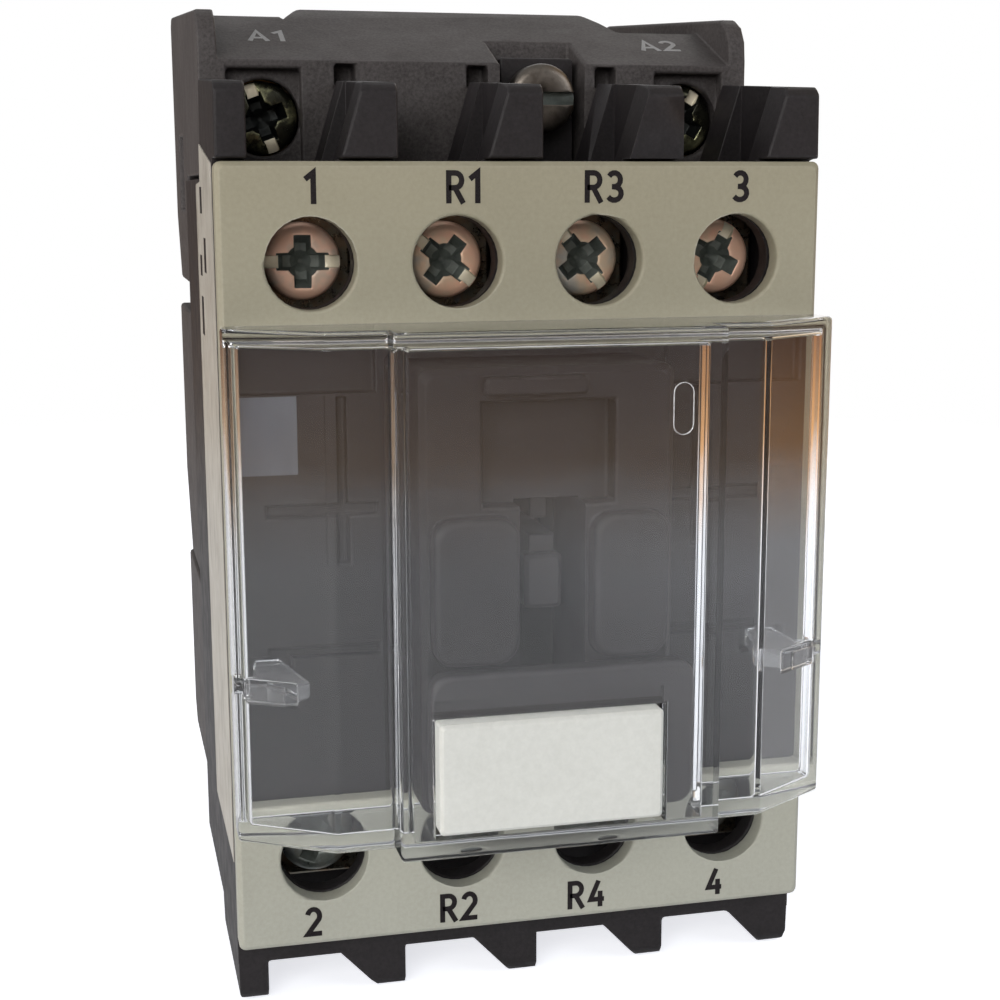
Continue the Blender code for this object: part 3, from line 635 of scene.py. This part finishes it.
def thread(radius, low, high, tip, pitch=0.7):
    """Shank with rolled ridges between two values of y, ending in a chamfer."""
    outline = [(0.02, low), (radius - 0.05, low)]
    y = low + 0.3
    while y < high - pitch:
        outline += [(radius - 0.28, y), (radius, y + pitch * 0.5)]
        y += pitch
    outline += [(radius - 0.28, y), (tip, high), (0.02, high)]
    return turned(outline, 28)


def screw(node, name, surface, x, z, front, rear, end, turn, radius, shank, slot_half, slot_depth,
          cross):
    """Screw for a CAD node: head from front to rear, shank to end, turned by so many degrees."""
    head = screw_head(radius, rear - front, slot_half, slot_depth, cross)
    soften(head, 0.07, 2, 35.0)
    for _ in range(3):
        head.data.materials.append(None)
    mark_recess(head, radius, rear - front, slot_half, slot_depth)
    stem = thread(shank, rear - front - 0.05, end - front, shank * 0.7)
    shade(stem, 50.0)
    work = bmesh.new()
    work.from_mesh(head.data)
    work.from_mesh(stem.data)
    work.to_mesh(head.data)
    work.free()
    bpy.data.objects.remove(stem)
    for face in head.data.polygons:
        face.use_smooth = True
    head.data.set_sharp_from_angle(angle=math.radians(40))
    turning = Matrix.Rotation(math.radians(turn), 4, "Y")
    placed(head, Matrix.Translation(Vector((x, front, z)) * MM) @ turning)
    return piece(head, name, surface, BODY_OF[node], "zinc_steel", node)


# Head surfaces by row: the lower row is a painted-shade copy of the upper one, and recesses and
# slot ends carry painted shade and highlight.
HEADS = {"upper": [GILT, RECESS_SHADE, SLOT_HIGHLIGHT], "lower": [LOWER_SCREW_SHADE, RECESS_SHADE, RECESS_SHADE]}
TURNS = {"upper": (0, 38, 52, -62), "lower": (24, 70, -30, 12)}
CLAMP_SHAPE = (2.85, 1.7, 0.45, 0.62, True)   # head, shank, half slot, slot depth, cross
for row, height in (("upper", 17.0), ("lower", -27.3)):
    for index, x in enumerate(POLES):
        tail = "%s_%d" % (row, index + 1)
        screw("terminal_screw_" + tail, "clamp_screw_" + tail, HEADS[row], x, height,
              -72.5, -70.4, -62.0, TURNS[row][index], *CLAMP_SHAPE)
for number, x in ((1, -17.3), (2, 17.3)):
    screw("coil_screw_a%d" % number, "coil_fixing_a%d" % number, [COIL_SCREW_SHADE, DEEP_RECESS_SHADE, SLOT_HIGHLIGHT], x, 27.7,
          -60.1, -57.9, -53.6, 20 + 50 * number, *CLAMP_SHAPE)
BODY_HEADS = [STEEL, RECESS_SHADE, RECESS_SHADE]
screw("housing_screw_1", "body_screw_1", BODY_HEADS, 5.0, 29.3, -62.4, -60.3, -47.0, 0,
      2.75, 1.55, 0.5, 1.0, False)
screw("housing_screw_2", "body_screw_2", BODY_HEADS, -5.3, -33.0, -58.0, -56.0, -38.0, 0,
      2.4, 1.55, 0.5, 0.9, False)


# ---------------------------------------------------------------- springs
def spring(node, name):
    """Smooth coil for a CAD spring."""
    thing = copied(node)
    work = bmesh.new()
    work.from_mesh(thing.data)
    bmesh.ops.remove_doubles(work, verts=work.verts, dist=WELD)
    work.to_mesh(thing.data)
    work.free()
    subdivide = thing.modifiers.new("round", "SUBSURF")
    subdivide.levels = 1
    baked(thing)
    shade(thing, 60.0)
    piece(thing, name, WIRE, BODY_OF[node], "spring_steel", node)
    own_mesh(thing)


spring("return_spring", "return_coil")
spring("rail_clip_spring", "latch_coil")


# ---------------------------------------------------------------- clear cover
TONGUE_X = (16.0, 20.9)                       # where the snap tongues are, either side of x = 0
TONGUE_Z = MID - 7.9
TONGUE_FRONT = -82.6


def build_cover():
    """Stepped clear lid with a window for the marker and a snap tongue at each side."""
    cover = copied("clear_cover")
    soften(cover, 0.32, 3, 25.0, edge_material=1)
    for face in cover.data.polygons:
        x, y, z = (v / MM for v in face.center)
        across = TONGUE_X[0] < abs(x) < TONGUE_X[1] and y > TONGUE_FRONT
        if across and abs(z - TONGUE_Z) < 0.85 and face.material_index == 0:
            face.material_index = 2
    piece(cover, "clear_lid", [CLEAR, CLEAR_EDGE, CLEAR_TONGUE], BODY_OF["clear_cover"],
          "clear_plastic", "clear_cover")


def oval_ring(x, low, high, radius, width, front, rear):
    """Raised ring with round ends, standing upright on the inside of the lid."""
    section = ((radius - width, front), (radius, front), (radius, rear), (radius - width, rear))
    levels = []
    for r, y in section:
        around = arc(x, high, r, r, 0, 180, 12) + arc(x, low, r, r, 180, 360, 12)
        levels.append([(a, y, b) for a, b in around])
    return loft(levels, closed=True)


build_cover()
EJECTOR_MARK = oval_ring(8.80, 5.95, 8.15, 0.76, 0.06, -85.43, -85.34)
piece(shade(EJECTOR_MARK), "ejector_ring", CLEAR_EDGE, BODY_OF["clear_cover"], "clear_plastic")


# ---------------------------------------------------------------- print
# Each glyph: its advance and its strokes, for letters 1 high.
GLYPHS = {
    "1": (0.34, [[(0.02, 0.74), (0.27, 0.935), (0.27, 0.0)]]),
    "2": (0.56, [arc(0.27, 0.69, 0.20, 0.24, 165, -28) + [(0.07, 0.075), (0.54, 0.075)]]),
    "3": (0.54, [arc(0.24, 0.71, 0.20, 0.215, 150, -90) + [(0.16, 0.495)],
                 [(0.16, 0.495)] + arc(0.24, 0.285, 0.23, 0.21, 90, -150)]),
    "4": (0.58, [[(0.56, 0.27), (0.08, 0.27), (0.36, 0.94)], [(0.42, 0.56), (0.42, 0.0)]]),
    "R": (0.60, [[(0.09, 0.0), (0.09, 0.925), (0.28, 0.925)]
                 + arc(0.30, 0.70, 0.20, 0.225, 90, -90) + [(0.09, 0.475)],
                 [(0.29, 0.475), (0.55, 0.0)]]),
    "A": (0.64, [[(0.05, 0.0), (0.32, 0.93), (0.59, 0.0)], [(0.14, 0.30), (0.50, 0.30)]]),
}


def stroke(path, width):
    """Left and right sides of a ribbon along a path in a plane, with mitred corners."""
    left, right = [], []
    for i, point in enumerate(path):
        p = Vector(point)
        back = (p - Vector(path[i - 1])).normalized() if i else None
        ahead = (Vector(path[i + 1]) - p).normalized() if i < len(path) - 1 else None
        d1, d2 = back or ahead, ahead or back
        n1, n2 = Vector((-d1.y, d1.x)), Vector((-d2.y, d2.x))
        n = (n1 + n2).normalized()
        reach = width / 2 / max(n.dot(n1), 0.45)
        left.append(p + n * reach)
        right.append(p - n * reach)
    return left, right


LETTER_GAP = 0.14                             # of the height of the letters
PRINT_THICKNESS = 0.05
PRINT_SUNK = 0.4                              # share of its thickness below the surface


def text(words, name, height, width, surface, body, slot, place):
    """Raised print built from strokes and merged into one mesh, with its foot centre at place."""
    thickness = PRINT_THICKNESS
    total = sum(GLYPHS[c][0] for c in words) + LETTER_GAP * (len(words) - 1)
    cursor = -total / 2
    parts = []
    for c in words:
        advance, paths = GLYPHS[c]
        for path in paths:
            left, right = stroke([(cursor + a, b) for a, b in path], width / height)
            ring = [(p.x * height, p.y * height) for p in left + right[::-1]]
            count = len(left)
            points = [(a, y, b) for y in (0.0, thickness) for a, b in ring]
            total_points = len(ring)
            faces = []
            for i in range(count - 1):
                j = total_points - 1 - i
                faces.append((i, i + 1, j - 1, j))
                faces.append(tuple(total_points + k for k in (j, j - 1, i + 1, i)))
            for i in range(total_points):
                k = (i + 1) % total_points
                faces.append((i, k, total_points + k, total_points + i))
            parts.append(make(points, faces))
        cursor += advance + LETTER_GAP
    whole = parts[0]
    if len(parts) > 1:
        join(whole, *parts[1:])
    placed(whole, place)
    shade(whole)
    return piece(whole, name, surface, body, slot)


LABELS = {"upper": (("1", -15.86), ("R1", -4.94), ("R3", 5.55), ("3", 16.15)),
          "lower": (("2", -16.85), ("R2", -5.63), ("R4", 4.58), ("4", 15.24))}
NUMBER_HEIGHT = 2.3
NUMBER_FRONT = FASCIA_FRONT - PRINT_THICKNESS * PRINT_SUNK
for row, height in (("upper", 22.3), ("lower", -32.2)):
    for index, (words, x) in enumerate(LABELS[row]):
        foot = Matrix.Translation(Vector((x, NUMBER_FRONT, height - NUMBER_HEIGHT / 2)) * MM)
        text(words, "print_%s_%d" % (row, index + 1), NUMBER_HEIGHT, 0.39, PRINT,
             BODY_OF["fascia"], "fascia_plastic", foot)


# The slope on top of the base: a point at its foot, the way up it and the way into it.
SLOPE_FOOT = Vector((0.0, -62.0, 32.0))
SLOPE_UP = Vector((0.0, 10.0, 4.2)).normalized()
SLOPE_IN = Vector((0.0, 4.2, -10.0)).normalized()
for words, x in (("A1", -16.5), ("A2", 16.2)):
    start = (SLOPE_FOOT + Vector((x, 0.0, 0.0)) + SLOPE_UP * (4.1 - x / 40.0)
             - SLOPE_IN * PRINT_THICKNESS * PRINT_SUNK)
    foot = Matrix(((1.0, 0.0, 0.0, start.x * MM),
                   (0.0, SLOPE_IN.y, SLOPE_UP.y, start.y * MM),
                   (0.0, SLOPE_IN.z, SLOPE_UP.z, start.z * MM),
                   (0.0, 0.0, 0.0, 1.0)))
    text(words, "print_" + words.lower(), 2.6, 0.40, PALE_PRINT, BODY_OF["base_housing"],
         "base_plastic", foot)


def label_stock(name, dark, light, streak):
    """Printed paper label with faint streaks."""
    s = Surface(name)
    cloud = s.noise(3.0, 3.0, 0.6)
    lines = s.noise(1.1, 3.0, 0.7, (1.0, 1.0, 0.22))
    tone = s.ramp(cloud, [(0.35, dark), (0.65, light)])
    s.set("Base Color", s.mix(s.range(lines, 0.0, 0.55, 0.50, 0.62), tone, streak))
    s.set("Roughness", s.range(s.noise(1.5, 3.0), 0.35, 0.55))
    return s.material


SIDE_PAPER = label_stock("side_paper", (0.385, 0.358, 0.310), (0.462, 0.436, 0.382),
                         (0.26, 0.24, 0.20))
GREY_PAPER = label_stock("grey_paper", (0.070, 0.076, 0.092), (0.086, 0.092, 0.108),
                         (0.064, 0.069, 0.082))


def sheet(outline, low, high, name, surface, body):
    """Flat label in the YZ plane between two values of x."""
    return piece(shade(prism("x", outline, low, high)), name, surface, body, "housing_plastic")


SHELL_BODY = BODY_OF["front_housing"]
SIDE_OUTLINE = [(-74.2, -28.0), (-58.0, -28.0), (-58.0, 22.6), (-62.5, 22.8), (-62.8, 25.6),
                (-74.2, 24.0)]
sheet(SIDE_OUTLINE, LEFT + 0.01, LEFT + 0.12, "side_label", SIDE_PAPER, SHELL_BODY)
# The bars on it: rear edge, bottom and top.
BARS = ((-62.2, 20.4, 22.4), (-60.6, 15.6, 17.2), (-60.8, 11.0, 14.0), (-65.0, 16.0, 18.6))
BAR_WIDTH = 2.0
for number, (y, low, high) in enumerate(BARS):
    sheet([(y - BAR_WIDTH, low), (y, low), (y, high), (y - BAR_WIDTH, high)], LEFT, LEFT + 0.08,
          "label_bar_%d" % (number + 1), PRINT, SHELL_BODY)
sticker = prism("y", [(-21.8, 1.8), (-16.8, 1.8), (-16.8, 7.5), (-21.8, 7.5)], -75.07, -74.95)
piece(shade(sticker), "field_label", GREY_PAPER, SHELL_BODY, "housing_plastic")


# ---------------------------------------------------------------- room
FLOOR_RADIUS = 0.34
FLOOR_FADE = (0.20, 0.32)                     # the floor goes from solid to nothing between these
ROOM_MIDDLE = Vector((0.0, -0.04, 0.0))


def build_floor():
    """Pale disc just below the object. Mirrored rays see it brighter on the right."""
    work = bmesh.new()
    bmesh.ops.create_circle(work, cap_ends=True, radius=FLOOR_RADIUS, segments=96)
    drop = Vector((0.0, 0.0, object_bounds()[0].z - 0.0002))
    bmesh.ops.translate(work, verts=work.verts, vec=ROOM_MIDDLE + drop)
    mesh = bpy.data.meshes.new("floor")
    work.to_mesh(mesh)
    work.free()
    floor = link(mesh, "floor")
    s = Surface("pale_floor", Roughness=0.6)
    tones = [(0.3, (0.79, 0.80, 0.82)), (0.7, (0.83, 0.84, 0.86))]
    s.set("Base Color", s.ramp(s.noise(40.0, 3.0), tones))
    rays = s.add("LightPath")
    s.shader.inputs["Emission Color"].default_value = (0.97, 0.98, 1.03, 1.0)
    glow = s.math("MULTIPLY", rays.outputs["Is Camera Ray"], 0.74)
    across = s.add("SeparateXYZ", {"Vector": s.place}).outputs["X"]
    mirrored = s.range(across, 0.30, 0.85, 0.03, 0.07)
    for kind, amount in (("Is Diffuse Ray", 0.25), ("Is Glossy Ray", mirrored)):
        glow = s.math("ADD", glow, s.math("MULTIPLY", rays.outputs[kind], amount))
    s.set("Emission Strength", glow)
    away = s.add("VectorMath", {0: s.place, 1: ROOM_MIDDLE}, operation="DISTANCE").outputs["Value"]
    fade = s.range(away, 0.0, 1.0, *FLOOR_FADE)
    gone = s.add("BsdfTransparent")
    edge = s.add("MixShader", {0: fade, 1: s.shader.outputs[0], 2: gone.outputs[0]})
    s.tree.links.new(edge.outputs[0], s.output.inputs["Surface"])
    mesh.materials.append(s.material)


# What reflections see, from straight down to straight up.
MIRRORED_SKY = [(0.0, (0.95, 0.95, 1.05)), (0.26, (0.95, 0.88, 0.82)), (0.34, (0.64, 0.44, 0.28)),
                (0.42, (0.24, 0.14, 0.09)), (0.50, (0.11, 0.07, 0.05)), (0.62, (0.16, 0.15, 0.14)),
                (0.80, (0.34, 0.34, 0.34)), (1.0, (0.50, 0.50, 0.50))]


def build_world():
    """White to the camera, dim and even to diffuse rays, and a banded sky to the others."""
    world = bpy.data.worlds.new("studio")
    bpy.context.scene.world = world
    world.use_nodes = True
    tree = world.node_tree
    tree.nodes.clear()

    def node(kind, **settings):
        made = tree.nodes.new("ShaderNode" + kind)
        for key, value in settings.items():
            setattr(made, key, value)
        return made

    direction = node("TexCoord")
    split = node("SeparateXYZ")
    tree.links.new(direction.outputs["Generated"], split.inputs[0])
    spread = node("MapRange")
    tree.links.new(split.outputs["Z"], spread.inputs["Value"])
    spread.inputs["From Min"].default_value = -0.5
    spread.inputs["From Max"].default_value = 0.5
    ramp = node("ValToRGB")
    while len(ramp.color_ramp.elements) < len(MIRRORED_SKY):
        ramp.color_ramp.elements.new(0.5)
    for element, (position, colour) in zip(ramp.color_ramp.elements, MIRRORED_SKY):
        element.position = position
        element.color = (*colour, 1.0)
    tree.links.new(spread.outputs[0], ramp.inputs[0])
    rays = node("LightPath")
    plain = node("Background")
    plain.inputs[0].default_value = (1.0, 1.0, 1.0, 1.0)
    plain.inputs[1].default_value = 1.0
    soft = node("Background")
    soft.inputs[0].default_value = (1.0, 0.99, 0.97, 1.0)
    soft.inputs[1].default_value = 0.14
    mirrored = node("Background")
    sideways = node("MapRange")
    tree.links.new(split.outputs["X"], sideways.inputs["Value"])
    sideways.inputs["From Min"].default_value = 0.35
    sideways.inputs["From Max"].default_value = 0.75
    warm = node("Mix", data_type="RGBA", blend_type="MULTIPLY")
    tree.links.new(sideways.outputs[0], warm.inputs[0])
    tree.links.new(ramp.outputs[0], warm.inputs[6])
    warm.inputs[7].default_value = (1.9, 1.45, 0.95, 1.0)
    tree.links.new(warm.outputs[2], mirrored.inputs[0])
    mirrored.inputs[1].default_value = 1.0
    by_diffuse = node("MixShader")
    tree.links.new(rays.outputs["Is Diffuse Ray"], by_diffuse.inputs[0])
    tree.links.new(mirrored.outputs[0], by_diffuse.inputs[1])
    tree.links.new(soft.outputs[0], by_diffuse.inputs[2])
    by_camera = node("MixShader")
    tree.links.new(rays.outputs["Is Camera Ray"], by_camera.inputs[0])
    tree.links.new(by_diffuse.outputs[0], by_camera.inputs[1])
    tree.links.new(plain.outputs[0], by_camera.inputs[2])
    out = node("OutputWorld")
    tree.links.new(by_camera.outputs[0], out.inputs[0])


# Name, place, size, power and colour of each soft lamp.
LAMPS = (("key", (-0.34, -0.64, 0.25), 0.40, 2.85, (1.0, 0.985, 0.96)),
         ("fill", (0.50, -0.48, 0.28), 0.36, 1.3, (0.92, 0.97, 1.05)),
         ("top", (0.0, 0.05, 0.70), 0.50, 0.15, (1.0, 1.0, 1.0)),
         ("side", (-0.60, -0.10, 0.22), 0.40, 1.7, (1.0, 0.97, 0.95)),
         ("back", (0.30, 0.60, 0.25), 0.50, 1.0, (1.0, 1.0, 1.0)))


def build_lamps():
    for name, spot, size, power, colour in LAMPS:
        lamp = bpy.data.lights.new(name, "AREA")
        lamp.size = size
        lamp.energy = power
        lamp.color = colour
        holder = bpy.data.objects.new(name, lamp)
        holder.location = spot
        towards = ROOM_MIDDLE - Vector(spot)
        holder.rotation_euler = towards.to_track_quat("-Z", "Y").to_euler()
        bpy.context.scene.collection.objects.link(holder)


CAMERA_PLACE = (-0.03155670, -0.19691742, 0.02186860)
CAMERA_TURN = (79.242817, 0.192963, -13.532259)


def build_camera():
    lens = bpy.data.cameras.new("camera")
    lens.sensor_width = 36.0
    lens.lens = 60.970482
    lens.shift_x = 0.0063906
    lens.shift_y = 0.0147507
    lens.clip_start = 0.001
    holder = bpy.data.objects.new("camera", lens)
    holder.location = CAMERA_PLACE
    holder.rotation_euler = Euler([math.radians(a) for a in CAMERA_TURN])
    bpy.context.scene.collection.objects.link(holder)
    bpy.context.scene.camera = holder
    bpy.context.scene.view_settings.view_transform = "Standard"


build_floor()
build_world()
build_lamps()
build_camera()
